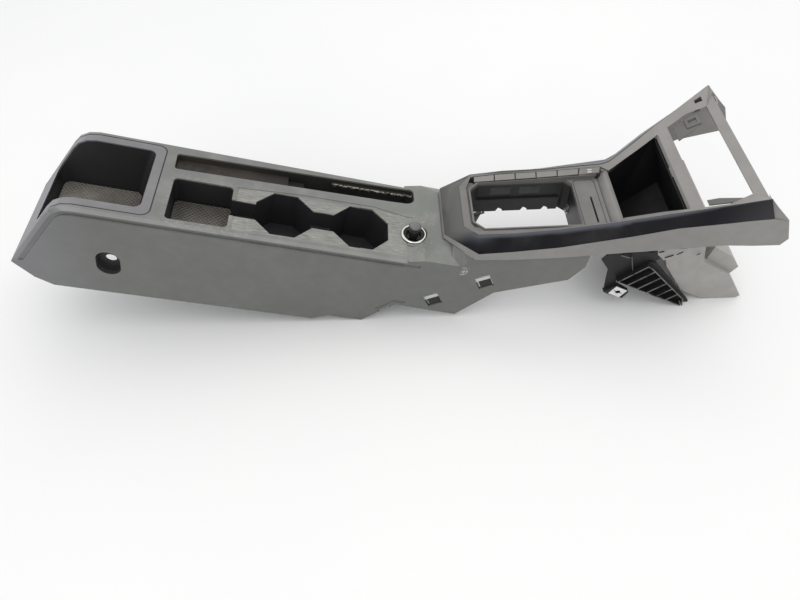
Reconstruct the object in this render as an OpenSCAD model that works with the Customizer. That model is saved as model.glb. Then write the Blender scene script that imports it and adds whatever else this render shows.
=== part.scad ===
// Floor console for a car, from the rear storage bin to the dash.
// X runs forward, Y to the vehicle's left, Z up. Stations are measured
// forward from the rear tip, and the finished part is centred on its length.

/* [Body] */
// Height of the flat deck above the lower edge
deck_h = 162; // [150:1:175]
// Width of the body across its side walls
body_w = 154.4; // [153:0.2:154.4]
// Wall of the body shell
wall = 2.6; // [2.2:0.1:3]
// Height of the rear tip above the lower edge
tip_h = 41; // [36:1:50]
// Station of the lower rear corner
heel_s = 40; // [32:1:48]
// Station where the rear slope reaches the deck
slope_s = 62; // [56:1:66]
// Station where the straight lower edge ends
sill_s = 413; // [405:1:425]
// Chamfer along the upper edges of the side walls
edge_c = 4; // [3:0.5:5]
// Gap round every seated piece
fit = 0.3; // [0.2:0.05:0.4]

/* [Rear bin] */
// Station of the bin mouth's rear edge
bin_s = 33; // [30:1:38]
// Length of the bin mouth
bin_len = 133; // [126:1:134]
// Width of the bin mouth
bin_w = 112; // [104:1:116]
// Depth of the bin below the deck
bin_depth = 88; // [70:1:94]
// How far the bin's front wall leans back down to its floor
bin_rake = 22; // [16:1:24]
// How far the bin's low rear wall leans forward down to its floor
bin_toe = 4; // [2:0.5:6]
// Corner radius of the bin
bin_r = 10; // [8:1:14]
// Width of the trim panel round the bin
trim_w = 136; // [132:1:138]
// Station of the trim panel's front edge
trim_end = 178.5; // [176:0.5:182]
// Thickness of the trim panel
trim_t = 2.4; // [2:0.1:3]
// Thickness of the rubber mats
mat_t = 2; // [1.5:0.1:3]

/* [Tray and cup holders] */
// Station of the tray's rear edge
tray_s = 197; // [194:1:199]
// Length of the tray
tray_len = 79; // [72:1:80]
// Width of the tray
tray_w = 77; // [70:1:79]
// Side position of the tray's centre
tray_y = -28.5; // [-30:0.5:-27]
// Depth of the tray
tray_depth = 44; // [36:1:50]
// Width of a cup holder across its flats
cup_af = 79; // [74:1:81]
// Depth of the cup holders
cup_depth = 62; // [50:1:72]
// Station of the rear cup holder
cup_s = 348; // [346:1:350]
// Distance between the cup holders
cup_pitch = 108.5; // [106:0.5:110]
// Side position of the cup holders
cup_y = -25.5; // [-27:0.5:-24]
// Width of the neck between the pockets
neck_w = 30; // [24:1:33]
// Depth of the neck between the pockets
neck_depth = 30; // [20:1:36]
// Wall of the pocket liners
liner_t = 2.2; // [1.8:0.1:2.6]

/* [Brake lever slot] */
// Station of the slot's rear edge
slot_s = 193; // [190:1:196]
// Length of the slot
slot_len = 344; // [330:1:348]
// Width of the slot
slot_w = 31; // [28:1:32]
// Side position of the slot's rear end
slot_y = 43; // [42:0.5:45]
// Skew of the slot, in degrees
slot_skew = 1.9; // [1.5:0.1:2]
// Depth of the closed rear stretch
slot_depth = 14; // [10:1:18]
// Length of the closed rear stretch
slot_floor_len = 156; // [140:1:165]
// Height of the slot's side walls
slot_wall_h = 30; // [24:1:34]

/* [Power socket] */
// Station of the socket
socket_s = 533; // [531:0.5:534]
// Side position of the socket
socket_y = -26; // [-28:0.5:-24]
// Rearward lean of the socket, in degrees
socket_lean = 9; // [6:1:10]
// Diameter of the bright ring
ring_d = 37.5; // [35:0.5:39]
// Diameter of the socket's barrel
barrel_d = 28; // [26:0.5:29]
// Bore of the socket
socket_bore = 21.5; // [21:0.1:23]
// Depth of the socket
socket_depth = 46; // [40:1:50]
// Diameter of the knob
knob_d = 18; // [16:0.5:19]
// Height of the knob above the ring
knob_h = 19; // [14:1:22]

/* [Upper frame] */
// Thickness of the upper frame's skin
frame_t = 2.5; // [2:0.1:3]
// Thickness of the accent trim
accent_t = 1.4; // [1:0.1:1.8]
// Slope of the selector panel, in degrees
panel_tilt = 16.7; // [16:0.1:17.5]
// Width of the selector opening
selector_w = 94; // [88:1:95]
// Length of the selector opening along the panel
selector_len = 150; // [140:1:152]
// Depth of the walls round the selector opening
skirt_depth = 56; // [48:1:58]
// Length of the card slot
card_len = 52; // [44:1:56]
// Width of the card slot
card_w = 3; // [2:0.2:4]

/* [Switch bank] */
// Number of places in the switch bank
switch_count = 6; // [6:1:6]
// Pitch of the places
switch_pitch = 29; // [28.5:0.5:29]
// Gap between neighbouring places
switch_gap = 0.8; // [0.6:0.1:1]
// Thickness of a blanking cover
blank_t = 4; // [3:0.5:4.5]
// Travel of the push switch
switch_travel = 2; // [1.5:0.5:2]

/* [Front pieces] */
// Depth of the storage compartment behind its mouth
store_depth = 74; // [64:1:78]
// Distance of the lower housing's cheeks from the middle
cheek_y = 60; // [57:0.5:60]
// Wall of the lower housing
cheek_t = 2.6; // [2.2:0.1:3]
// Distance of the ribbed brackets' webs from the middle
bracket_y = 60.3; // [60.3:0.1:61]
// Depth of the brackets' ribs
rib_h = 10; // [8:0.5:12]
// Thickness of the brackets' ribs
rib_t = 1.6; // [1.4:0.1:2]

/* [Fixings] */
// Width of the fixing recess in the side wall
recess_w = 31.5; // [30:0.5:33]
// Height of the fixing recess
recess_h = 46; // [42:1:48]
// Depth of the fixing recess
recess_depth = 18; // [14:1:20]
// Bore of the fixing hole
fixing_bore = 15; // [12:0.5:16]
// Station of the fixing recess
recess_s = 125; // [122:1:128]
// Height of the fixing recess's centre
recess_z = 65; // [60:1:68]
// Bore of the hole in a bracket's foot
foot_bore = 6.5; // [5:0.5:8]
// Thickness of the spring clips
clip_t = 0.8; // [0.6:0.1:1]

/* [Hidden] */
$fn = 64;

half_w = body_w / 2;
deck_under = deck_h - wall;

// Upper frame: stations of its four long edges on one side, front to back
crest = [[903, 115.5, 412.8], [901, 116, 413], [884, 107, 393.5], [867, 98, 374], [830, 79, 333],
    [798, 61, 295], [787, 59.5, 288], [713, 62.5, 257.5], [653, 64, 237], [608, 61.5, 221], [591, 41, 212.5]];
band = [[948, 117, 387], [926, 118, 387], [902, 113.5, 372.5], [880, 110, 359], [840, 96, 326],
    [814, 82.5, 293.5], [802, 79, 282.5], [715, 81, 242], [656, 81, 219], [613, 80, 203], [568, 47, 197]];
flank = [[971, 117, 360], [967, 118, 348], [937, 114, 335], [907, 109, 323], [858, 97, 290.5],
    [829, 84, 263.5], [817, 81.5, 256.5], [730, 80.5, 223.5], [665, 80, 203], [613, 80, 190], [568, 47, 190]];
inner = [[909.5, 107, 405.6], [900, 89, 396.3], [881, 91.3, 375.8], [861, 81, 354.5], [830, 64, 321.8],
    [798, 48.5, 287], [787, 53, 281], [713, 55, 254], [653, 55, 234], [609, 52, 219], [601, 36, 215.5]];
bank_rings = [6, 7, 8, 9];
tip_of_housing = 1060;
part_len = tip_of_housing;
panel_s = 592;
panel_z = 212.5;
slope_origin = 792;
slope_origin_z = 281.5;
slope_tilt = 46.67;
bank_s = 613;
bank_y = 47.6;
bank_z = 219;
bank_rise = 0.347;

function unit(v) = v / norm(v);
function crest_at(s, k) = lookup(s, [for (i = [len(crest) - 1:-1:0]) [crest[i][0], crest[i][k]]]);

// Side view of the body: lower edge from the heel forward, then the top line back
function body_profile() = [
    [0, tip_h], [heel_s * 0.62, 13], [heel_s + 8, 0], [sill_s, 0], [sill_s + 24, 13], [489, 13], [530, 63],
    [627, 60], [667, 124], [762, 177], [773, 209], [766, 244], [640, 203], [614, 188], [598, 170],
    [560, deck_h + 1.5], [500, deck_h], [slope_s + 26, deck_h], [slope_s + 12, deck_h - 3],
    [slope_s, deck_h - 11], [slope_s - 9, deck_h - 24]];

// A closed skin through rings of points that all have the same count. The ends are closed by the
// cap's triangles, and strips from the turn onward are split the other way, so both faces match.
module loft(rings, cap, turn) {
    m = len(rings);
    n = len(rings[0]);
    points = [for (r = rings) for (p = r) p];
    sides = [for (i = [0:m - 2]) for (j = [0:n - 1]) let (a = i * n + j, b = i * n + (j + 1) % n)
        each j < turn ? [[a, b, a + n], [b, b + n, a + n]] : [[a, b, b + n], [a, b + n, a + n]]];
    ends = [for (t = cap) each [[t[2], t[1], t[0]], [for (j = t) j + (m - 1) * n]]];
    polyhedron(points, concat(sides, ends), convexity = 10);
}

// A plate with its outline in the side view, between two side positions
module side_plate(outline, y0, y1) {
    translate([0, y1, 0]) rotate([90, 0, 0]) linear_extrude(y1 - y0) polygon(outline);
}

// A rectangle with rounded corners, seen from above
module round_rect(length, width, r) {
    translate([r, r - width / 2]) offset(r) square([length - 2 * r, width - 2 * r]);
}

module octagon(across) {
    rotate(22.5) circle(d = across / cos(22.5), $fn = 8);
}

// Moves a shape drawn with its origin on the rear edge of the selector panel into place
module on_panel() {
    translate([panel_s, 0, panel_z]) rotate([0, -panel_tilt, 0]) children();
}

module both_sides() {
    children();
    mirror([0, 1, 0]) children();
}

// Body shell

module body_prism(shrink, y_half) {
    translate([0, y_half, 0]) rotate([90, 0, 0]) linear_extrude(2 * y_half)
        offset(delta = -shrink) polygon(body_profile());
}

// What a chamfer along both upper edges takes off, as far as the flat deck runs
module edge_relief(c) {
    reach = [[-20, -20], [524, -20], [524, deck_h + 20], [-20, deck_h + 20]];
    difference() {
        side_plate([[-20, tip_h], [524, tip_h], [524, deck_h + 10], [-20, deck_h + 10]], -half_w - 5, half_w + 5);
        hull() for (k = [0, 1]) intersection() {
            body_prism(k * c, half_w - (1 - k) * c);
            side_plate(reach, -half_w, half_w);
        }
    }
}

// Raised part of the deck that climbs to the upper frame, its shoulders falling to the side walls
module ramp(drop, side) {
    intersection() {
        side_plate([[523 + drop, deck_h - drop - 4], [523 + drop, deck_h - drop], [546 + drop, deck_h + 6.5 - drop],
            [567, 187 - drop], [612, 186 - drop], [640, 186 - drop], [640, deck_h - drop - 4]], -side, side);
        translate([500, 0, 0]) rotate([90, 0, 90]) linear_extrude(150) polygon([[-side, 140], [side, 140],
            [side, 169 - drop], [47 - drop / 2, 188 - drop], [drop / 2 - 47, 188 - drop], [-side, 169 - drop]]);
    }
}

// Outer skin of the deck within an outline, down to the given depth
module deck_skin(depth) {
    difference() {
        translate([0, 0, deck_h - 6]) linear_extrude(60) children();
        body_prism(depth, half_w + 1);
        ramp(depth, half_w);
    }
}

module window_cut(s, z) {
    translate([s, 0, z]) rotate([0, -38, 0]) cube([23, 3 * body_w, 27], center = true);
}

module recess_outline(grow) {
    offset(delta = grow) translate([recess_s, recess_z]) {
        for (dz = [-1, 1]) translate([0, dz * (recess_h - recess_w) / 2]) circle(d = recess_w);
        square([recess_w, recess_h - recess_w], center = true);
    }
}

module recess_pocket() {
    translate([0, -half_w + recess_depth, 0]) rotate([90, 0, 0])
        linear_extrude(recess_depth - 0.5) recess_outline(wall);
}

module recess_hollow() {
    translate([0, -half_w + recess_depth - wall, 0]) rotate([90, 0, 0])
        linear_extrude(recess_depth) recess_outline(0);
    translate([recess_s, -half_w + recess_depth + 1, recess_z - 6]) rotate([90, 0, 0])
        cylinder(d = fixing_bore, h = recess_depth);
}

module pocket_outline(grow) {
    offset(delta = grow) {
        translate([tray_s, tray_y]) round_rect(tray_len, tray_w, 6);
        for (k = [0, 1]) translate([cup_s + k * cup_pitch, cup_y]) octagon(cup_af);
        translate([tray_s + tray_len - 1, cup_y - neck_w / 2 - 3]) square([cup_s - tray_s - tray_len, neck_w]);
        translate([cup_s, cup_y - cup_af * tan(22.5) / 2]) square([cup_pitch, cup_af * tan(22.5)]);
    }
}

module slot_outline(grow) {
    translate([slot_s, slot_y]) rotate(slot_skew) offset(delta = grow) union() {
        round_rect(slot_len, slot_w, 9);
        round_rect(slot_len / 2, slot_w, 4.5);
    }
}

module trim_outline(grow) {
    offset(delta = grow) translate([-20, 0]) round_rect(trim_end + 20, trim_w, 12);
}

module bin_mouth(grow) {
    offset(delta = grow) translate([bin_s, 0]) round_rect(bin_len, bin_w, bin_r);
}

module deck_cut(depth) {
    translate([0, 0, deck_h - depth]) linear_extrude(depth + 40) children();
}

// Places a shape along the leaning axis of the power socket, its ring's seat at the origin
module at_socket() {
    translate([socket_s, socket_y, deck_h + 3.4]) rotate([0, -socket_lean, 0]) children();
}

// Everything inside the shell, open to below
module body_hollow() {
    difference() {
        union() {
            body_prism(wall, half_w - wall);
            ramp(wall, half_w - wall);
            side_plate([[heel_s + 12, -5], [780, -5], [780, 260], [601, 148], [500, deck_under - 30],
                [heel_s + 20, deck_under - 30]], -half_w + wall, half_w - wall);
        }
        translate([-1, -half_w, -6]) cube([heel_s + 13, body_w, 14]);
    }
}

// Long shallow panel round the cup holders, its line fading toward the socket
module panel_outline() {
    polygon([[281, -66], [281, 12], [371, 19], [475, 20.5], [518, 12], [534, 8], [534, 7], [518, 11],
        [475, 19.5], [455, 19.3], [455, -66]]);
}

module console_body() {
    color([0.40, 0.40, 0.38]) difference() {
        union() {
            difference() {
                union() {
                    body_prism(0, half_w);
                    ramp(0, half_w - 0.05);
                }
                body_hollow();
            }
            both_sides() recess_pocket();
            at_socket() translate([0, 0, -15]) cylinder(d = ring_d + 8, h = 15);
        }
        translate([601, -half_w + wall, deck_h - 20]) cube([200, body_w - 2 * wall, 140]);
        side_plate([[657, 90], [790, 90], [790, 217], [767, 208], [700, 181], [661, 165]], 0, body_w);
        edge_relief(edge_c);
        both_sides() recess_hollow();
        both_sides() for (w = [[583, 87], [644, 144]]) intersection() {
            window_cut(w[0], w[1]);
            translate([0, -body_w, 0]) cube([800, body_w, 300]);
        }
        deck_cut(30) pocket_outline(0);
        deck_cut(30) slot_outline(0);
        deck_skin(0.8) difference() {
            panel_outline();
            slot_outline(2);
        }
        intersection() {
            difference() {
                body_prism(-5, half_w + 5);
                body_prism(trim_t + 0.4, half_w + 6);
            }
            translate([0, 0, tip_h - 4]) linear_extrude(200) trim_outline(0.5);
        }
        translate([0, 0, tip_h + 22]) linear_extrude(200) bin_mouth(3);
        both_sides() intersection() {
            difference() {
                body_prism(6, half_w + 2);
                body_prism(11, half_w + 3);
            }
            translate([-1, -half_w - 1, tip_h + 6]) cube([545, 2.4, 200]);
        }
        at_socket() translate([0, 0, -20]) cylinder(d = barrel_d + 2 * fit, h = 60);
        at_socket() cylinder(d = ring_d + 1, h = 40);
    }
}

module rear_trim() {
    color([0.50, 0.49, 0.51]) difference() {
        intersection() {
            difference() {
                body_prism(0, half_w);
                body_prism(trim_t, half_w + 1);
            }
            translate([0, 0, tip_h]) linear_extrude(200) trim_outline(0);
        }
        translate([0, 0, tip_h + 22]) linear_extrude(200) bin_mouth(0);
    }
}

// Rear bin, its mouth running down the rear slope to a low rear wall

module bin_plan(back, front, grow) {
    offset(delta = grow) translate([bin_s + back, 0]) round_rect(bin_len + front - back, bin_w, bin_r);
}

// Stretched far above the deck, where the slope's prism trims it
module bin_block(floor_z, upper, lower) {
    hull() {
        translate([0, 0, deck_h + 28]) linear_extrude(0.2) bin_plan(-4 * bin_toe, 6, upper);
        translate([0, 0, floor_z]) linear_extrude(0.2) bin_plan(bin_toe, -bin_rake, lower);
    }
}

module bin_tub() {
    floor_z = deck_h - bin_depth;
    color([0.09, 0.09, 0.10]) intersection() {
        difference() {
            bin_block(floor_z - liner_t, 0.4 + liner_t, liner_t);
            bin_block(floor_z, 0.4, 0);
        }
        body_prism(trim_t + 0.2 + fit, half_w);
    }
}

module bin_mat() {
    color([0.35, 0.33, 0.30]) translate([0, 0, deck_h - bin_depth + 0.2 + fit])
        linear_extrude(mat_t) bin_plan(bin_toe, -bin_rake, -0.6);
}

// Tray and cup holders, one liner under the deck

module pocket(depth, grow) {
    translate([0, 0, deck_under - depth + wall - (grow > 1 ? liner_t : 0)])
        linear_extrude(depth - wall + (grow > 1 ? liner_t - 0.2 : 5)) offset(delta = grow) children();
}

module neck_outline() {
    translate([tray_s + tray_len - 6, cup_y - neck_w / 2 - 3]) square([cup_s - tray_s - tray_len, neck_w]);
    translate([cup_s, cup_y - cup_af * tan(22.5) / 2]) square([cup_pitch, cup_af * tan(22.5)]);
}

module tray_outline() {
    translate([tray_s, tray_y]) round_rect(tray_len, tray_w, 6);
}

module cup_outline() {
    for (k = [0, 1]) translate([cup_s + k * cup_pitch, cup_y]) octagon(cup_af);
}

module cup_tray() {
    color([0.09, 0.09, 0.10]) difference() {
        union() {
            pocket(tray_depth, liner_t + 0.5) tray_outline();
            pocket(cup_depth, liner_t + 0.5) cup_outline();
            pocket(neck_depth, liner_t + 0.5) neck_outline();
            translate([0, 0, deck_under - 2]) linear_extrude(1.8) difference() {
                pocket_outline(5);
                slot_outline(liner_t + 1.5);
            }
        }
        pocket(tray_depth, 0.5) tray_outline();
        pocket(cup_depth, 0.5) cup_outline();
        pocket(neck_depth, 0.5) neck_outline();
    }
}

module tray_mat() {
    color([0.38, 0.37, 0.35]) translate([0, 0, deck_h - tray_depth + 0.2])
        linear_extrude(mat_t) offset(delta = -1) tray_outline();
}

// Brake lever slot: a shallow floor behind, open in front, with a torn lip on the far side

module slot_part(s0, s1) {
    intersection() {
        children();
        translate([s0, 0]) square([s1 - s0, 100]);
    }
}

module brake_slot_liner() {
    top = deck_under - 0.2;
    floor_end = slot_s + slot_floor_len;
    color([0.13, 0.12, 0.11]) {
        difference() {
            translate([0, 0, top - slot_wall_h]) linear_extrude(slot_wall_h) slot_outline(liner_t + 0.4);
            translate([0, 0, top - slot_wall_h - 1]) linear_extrude(slot_wall_h + 2) slot_outline(0.4);
        }
        translate([0, 0, deck_h - slot_depth]) linear_extrude(liner_t)
            slot_part(slot_s, floor_end) slot_outline(0.6);
        translate([0, 0, deck_h - slot_depth - 8]) linear_extrude(liner_t) difference() {
            slot_part(floor_end - 1, floor_end + 24) slot_outline(0.6);
            translate([floor_end + 2, slot_y - 4]) square([17, 15]);
        }
        translate([0, 0, deck_h - slot_depth - 8]) linear_extrude(8 + liner_t)
            slot_part(floor_end - 2, floor_end) slot_outline(0.6);
        translate([0, 0, deck_h - 9]) linear_extrude(1.6) intersection() {
            slot_outline(0.6);
            translate([slot_s + 220, slot_y + 17]) rotate(slot_skew) union() {
                square([130, 20]);
                for (k = [0:9]) translate([4 + 13 * k, 0]) rotate(28 + 17 * (k % 3)) square([5, 5], center = true);
            }
        }
    }
}

// Power socket

module power_socket() {
    color([0.08, 0.08, 0.08]) at_socket() difference() {
        union() {
            translate([0, 0, -socket_depth]) cylinder(d = barrel_d, h = socket_depth - 0.4);
            translate([0, 0, -18]) cylinder(d = barrel_d + 5, h = 2.6);
        }
        translate([0, 0, -socket_depth + 3]) cylinder(d = socket_bore, h = socket_depth);
    }
}

module socket_ring() {
    color([0.80, 0.80, 0.78]) at_socket() difference() {
        rotate_extrude() polygon([[socket_bore / 2 + 0.4, 0], [ring_d / 2, 0], [ring_d / 2, 1],
            [ring_d / 2 - 1.4, 2.6], [ring_d / 2 - 3.2, 2.6], [ring_d / 2 - 4.4, 1.2],
            [socket_bore / 2 + 0.4, 1]]);
    }
}

module lighter_knob() {
    bore_r = socket_bore / 2;
    color([0.22, 0.22, 0.22]) at_socket() rotate_extrude() polygon([[0, -30], [bore_r - 2, -30],
        [bore_r - 0.3, -27], [bore_r - 0.3, -6], [knob_d / 2 - 2.5, -5], [knob_d / 2 - 2.5, knob_h - 9],
        [knob_d / 2, knob_h - 8], [knob_d / 2, knob_h - 1.5], [knob_d / 2 - 1.5, knob_h], [0, knob_h]]);
}

// Upper frame: one ring round the selector and the two flared rails

// Direction along the rail at one station
function along(i) = let (
        k = max(i, 1),
        after = k < len(crest) - 1 ? crest[k + 1] : crest[k] + 14 * unit(crest[k] - crest[k - 1]) - [0, 14, 0]
    ) unit(after - crest[k - 1]);

// Outward normal of the face between two edge points
function face_normal(i, p, q) = unit(cross(unit(q - p), along(i)));

// Point at the given depths below two faces that meet at an edge
function below(p, n1, d1, n2, d2) = let (g = n1 * n2, k = 1 - g * g)
    g > 0.85 ? p - unit(n1 + n2) * max(d1, d2) : p - n1 * (d1 - g * d2) / k - n2 * (d2 - g * d1) / k;

// Ring of points at one station: inner edge, crest, recessed band, flank, and back inside
function frame_ring(i, bank) = let (
        c = crest[i], b = band[i], f = flank[i],
        q = bank && len(search(i, bank_rings)) > 0 ? c + unit(inner[i] - c) * 4.4 : inner[i],
        n1 = face_normal(i, inner[i], c), n2 = face_normal(i, c, b), n3 = face_normal(i, b, f),
        h = i == 0 ? 0.05 : accent_t + fit,
        c1 = c + unit(inner[i] - c) * 0.5, b1 = b + unit(f - b) * 0.5
    ) [q, c1, below(c, n1, 1.2, n2, h), b1 - n2 * h, b1, f, f - n3 * frame_t,
        below(b, n2, h + frame_t, n3, frame_t), below(c, n1, frame_t + 0.4, n2, h + frame_t), q - n1 * frame_t];

function accent_ring(i) = let (
        c = crest[i], b = band[i], n1 = face_normal(i, inner[i], c), n2 = face_normal(i, c, b)
    ) [c, b, b - n2 * accent_t, below(c, n1, 1, n2, accent_t)];

// The rings of one rail from just past the middle of the rear bar to the front
function rail_rings(rings) = let (last = len(rings) - 1)
    concat([[for (p = rings[last]) [p[0], -0.1, p[2]]]], [for (i = [last:-1:0]) rings[i]]);

module frame_half(bank) {
    loft(rail_rings([for (i = [0:len(crest) - 1]) frame_ring(i, bank)]),
        [[0, 1, 8], [0, 8, 9], [1, 2, 8], [2, 3, 8], [3, 7, 8], [3, 4, 7], [4, 5, 7], [5, 6, 7]], 5);
}

module trim_frame() {
    color([0.44, 0.43, 0.41]) difference() {
        union() {
            frame_half(true);
            mirror([0, 1, 0]) frame_half(false);
            side_plate([[788, 267], [789, 272], [792, 281.3], [794.5, 284], [797.2, 284.4], [794.5, 274], [791, 265]],
                -52, 52);
            side_plate([[789, 281.6], [790, 283.5], [797.2, 285.4], [798.5, 283.5], [797, 281.5]], 50, 57);
            side_plate([[851, 339], [851.5, 344.8], [861.5, 355.2], [865, 352.5], [855, 337.5]], -83, 83);
            side_plate([[900, 396.3], [909, 405.6], [912, 402], [904, 392.5]], -104, 104);
        }
        translate([896, 98, 391]) rotate([0, -47, 0]) translate([-5, 0, -8]) cube([10, 9, 16]);
    }
}

module accent_trim() {
    color([0.14, 0.14, 0.17]) both_sides()
        loft(rail_rings([for (i = [1:len(crest) - 1]) accent_ring(i)]), [[0, 1, 3], [1, 2, 3]], 2);
}

// Selector panel with its card slot and the walls round the opening

module selector_hole(grow, near) {
    x0 = 15;
    offset(delta = grow) polygon([[x0 + 14, selector_w / 2], [x0, selector_w / 2 - 14], [x0, -near + 14],
        [x0 + 14, -near], [x0 + selector_len, -near], [x0 + selector_len, selector_w / 2 - 10],
        [x0 + selector_len - 10, selector_w / 2]]);
}

module selector_panel() {
    near = selector_w / 2 - 1;
    hole_end = 15 + selector_len;
    color([0.47, 0.46, 0.44]) bank_riser();
    color([0.47, 0.46, 0.44]) on_panel() difference() {
        union() {
            translate([0, 0, -2]) linear_extrude(2) difference() {
                union() {
                    intersection() {
                        selector_hole(2.4, near);
                        translate([0, -100]) square([300, 100 + bank_y - 0.4]);
                    }
                    translate([hole_end - 8, -51]) offset(4) translate([4, 4]) square([38, 90.4]);
                }
                selector_hole(0, near);
            }
            translate([0, 0, -6.4]) linear_extrude(2.4) difference() {
                intersection() {
                    selector_hole(15, near);
                    translate([0, -70]) square([21.5, 121]);
                }
                selector_hole(0, near);
            }
            translate([0, 0, -6.4]) linear_extrude(4.6) difference() {
                translate([16, -near - 10]) square([hole_end + 18, 14]);
                selector_hole(0, near);
            }
            translate([0, 0, -skirt_depth]) linear_extrude(skirt_depth - 1) difference() {
                intersection() {
                    selector_hole(2.4, near);
                    translate([0, -100]) square([300, 100 + bank_y - 0.4]);
                }
                offset(delta = -0.6) selector_hole(0, near);
            }
            translate([24, selector_w / 2 - 4, -skirt_depth]) cube([selector_len - 22, 5, skirt_depth - 32]);
        }
        translate([hole_end + 20, -card_len + 8, -8]) cube([card_w, card_len, 14]);
        for (x = [48, 92]) translate([x, selector_w / 2 - 8, -26]) cube([30, 20, 15]);
        for (x = [58, 96, 128]) translate([x, selector_w / 2 - 6, -skirt_depth - 1])
            rotate([0, 30, 0]) cube([9, 14, 9]);
        translate([8, -selector_w, -skirt_depth - 1]) cube([selector_len, selector_w, 24]);
        translate([hole_end - 4, -selector_w / 2 - 6, -skirt_depth - 1]) cube([12, 30, 34]);
    }
}

// Upright strip that closes the step between the panel and the switch bank
module bank_riser() {
    side_plate([[616, 216], [783, 266], [783, 276.9], [616, 219]], bank_y - 1.6, bank_y - 0.4);
}

module panel_clip() {
    x = 15 + selector_len;
    color([0.75, 0.78, 0.76]) on_panel() translate([x - clip_t - 1, 22, -48]) {
        cube([clip_t, 12, 16]);
        translate([-3, 2, 3]) rotate([0, 14, 0]) cube([clip_t, 8, 9]);
        translate([-3.4, 2, 2]) cube([3.6, 8, clip_t]);
    }
}

// Switch bank on the left rail: covers and one push switch on a ruled surface

function bank_inner(s) = [s, bank_y, bank_z + (s - bank_s) * bank_rise];
function bank_outer(s) = [s, crest_at(s, 1) - 5.2, crest_at(s, 2) - 1.6];
function place_start(k) = bank_s + (k - 1) * switch_pitch;
function place_quad(k, gap) = let (s0 = place_start(k) + gap / 2, s1 = place_start(k) + switch_pitch - gap / 2)
    [bank_inner(s0), bank_inner(s1), bank_outer(s1), bank_outer(s0)];
function place_normal(k) = let (q = place_quad(k, 0)) unit(cross(q[1] - q[3], q[2] - q[0]));

// A block of the switch bank between two depths, flat across the mean plane of its place
module place_block(k, top, bottom, gap, inset) {
    q = place_quad(k, gap);
    n = place_normal(k);
    mid = (q[0] + q[1] + q[2] + q[3]) / 4;
    flat = [for (p = q) p - n * ((p - mid) * n)];
    corners = [for (p = flat) p + unit(mid - p) * inset];
    loft([[for (p = corners) p - n * top], [for (p = corners) p - n * bottom]], [[0, 1, 2], [0, 2, 3]], 4);
}

module switch_blank(k) {
    color([0.46, 0.45, 0.43]) {
        place_block(k, 0, blank_t, switch_gap, 0);
        place_block(k, blank_t - 0.5, blank_t + 2.2, switch_gap, 5);
    }
}

module switch_blank_1() { switch_blank(1); }
module switch_blank_2() { switch_blank(2); }
module switch_blank_3() { switch_blank(3); }
module switch_blank_4() { switch_blank(4); }
module switch_blank_5() { switch_blank(5); }

module mode_switch() {
    color([0.46, 0.45, 0.43]) {
        place_block(switch_count, 0, blank_t, switch_gap, 0);
        place_block(switch_count, blank_t - 0.5, blank_t + switch_travel + 6, switch_gap, 7);
    }
}

module switch_carrier() {
    color([0.10, 0.10, 0.10]) difference() {
        union() {
            for (k = [1:switch_count]) {
                drop = k == switch_count ? blank_t + switch_travel + 0.3 : blank_t + 2.5;
                place_block(k, drop, blank_t + 6, 0, 0);
            }
        }
        place_block(switch_count, 0, blank_t + switch_travel + 12, switch_gap, 6.4);
    }
}

// Storage compartment under the front of the frame

module store_slab(s0, y0, z0, s1, y1, z1, grow, lift) {
    for (y = [-1, 1]) {
        translate([s0 - grow, y * (y0 + grow), z0 - lift]) cylinder(d = 0.4, h = 0.2, $fn = 12);
        translate([s1 + grow, y * (y1 + grow), z1 - lift]) cylinder(d = 0.4, h = 0.2, $fn = 12);
    }
}

module store_solid(grow) {
    back = store_depth * 0.52;
    low = store_depth * 0.80;
    hull() {
        store_slab(800, 46.5, 282, 848.6, 76.5, 338, grow, 0);
        store_slab(800 + back, 42, 282 - low, 848.6 + back, 56, 338 - low, grow, grow);
    }
}

module storage_tub() {
    color([0.08, 0.08, 0.08]) difference() {
        store_solid(2.2);
        store_solid(0);
        translate([800, 0, 282.2]) rotate([0, -48.8, 0]) translate([-60, -120, 0]) cube([240, 240, 60]);
    }
}

// Plates beside the climate opening

// Moves a shape drawn on the upper slope, its origin at the rear edge of the compartment, into place
module on_slope() {
    translate([slope_origin, 0, slope_origin_z]) rotate([0, -slope_tilt, 0]) children();
}

module climate_plate_left() {
    color([0.45, 0.44, 0.42]) on_slope() {
        difference() {
            translate([0, 0, -4.3]) linear_extrude(2)
                polygon([[108, 50], [108, 79], [148, 94], [149, 84], [143, 68], [131, 58]]);
            translate([128, 68, -8]) cube([11, 10, 10]);
        }
        translate([124, 64, -5.5]) difference() {
            cube([19, 18, 5]);
            translate([4, 4, -1]) cube([11, 10, 8]);
        }
    }
}

module climate_plate_right() {
    color([0.45, 0.44, 0.42]) on_slope() translate([0, 0, -4.3]) linear_extrude(2)
        polygon([[108, -79], [108, -70], [122, -74], [147, -88], [148, -94]]);
}

// Lower housing under the front of the frame

function housing_outline() = [[880, 330], [905, 322], [952, 243], [1012, 224], [tip_of_housing, 186],
    [1046, 157], [1006, 165], [960, 176], [905, 220], [872, 262]];

module lower_housing() {
    nub = [[959, 266], [1000, 252], [1022, 236], [1018, 212], [965, 228]];
    color([0.53, 0.51, 0.49]) difference() {
        union() {
            difference() {
                side_plate(housing_outline(), -cheek_y, cheek_y);
                translate([0, cheek_y - cheek_t, 0]) rotate([90, 0, 0]) linear_extrude(2 * (cheek_y - cheek_t))
                    offset(delta = -cheek_t) polygon(housing_outline());
                side_plate([[860, 340], [901, 326], [903, 240], [880, 230], [850, 300]],
                    -cheek_y + cheek_t, cheek_y - cheek_t);
            }
            difference() {
                side_plate(nub, -cheek_y + 10, 10);
                side_plate([[963, 262], [999, 249.5], [1019, 234.5], [1015.5, 216], [967.5, 231]],
                    -cheek_y + 12.5, 12);
            }
        }
        store_solid(2.6);
    }
}

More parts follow.
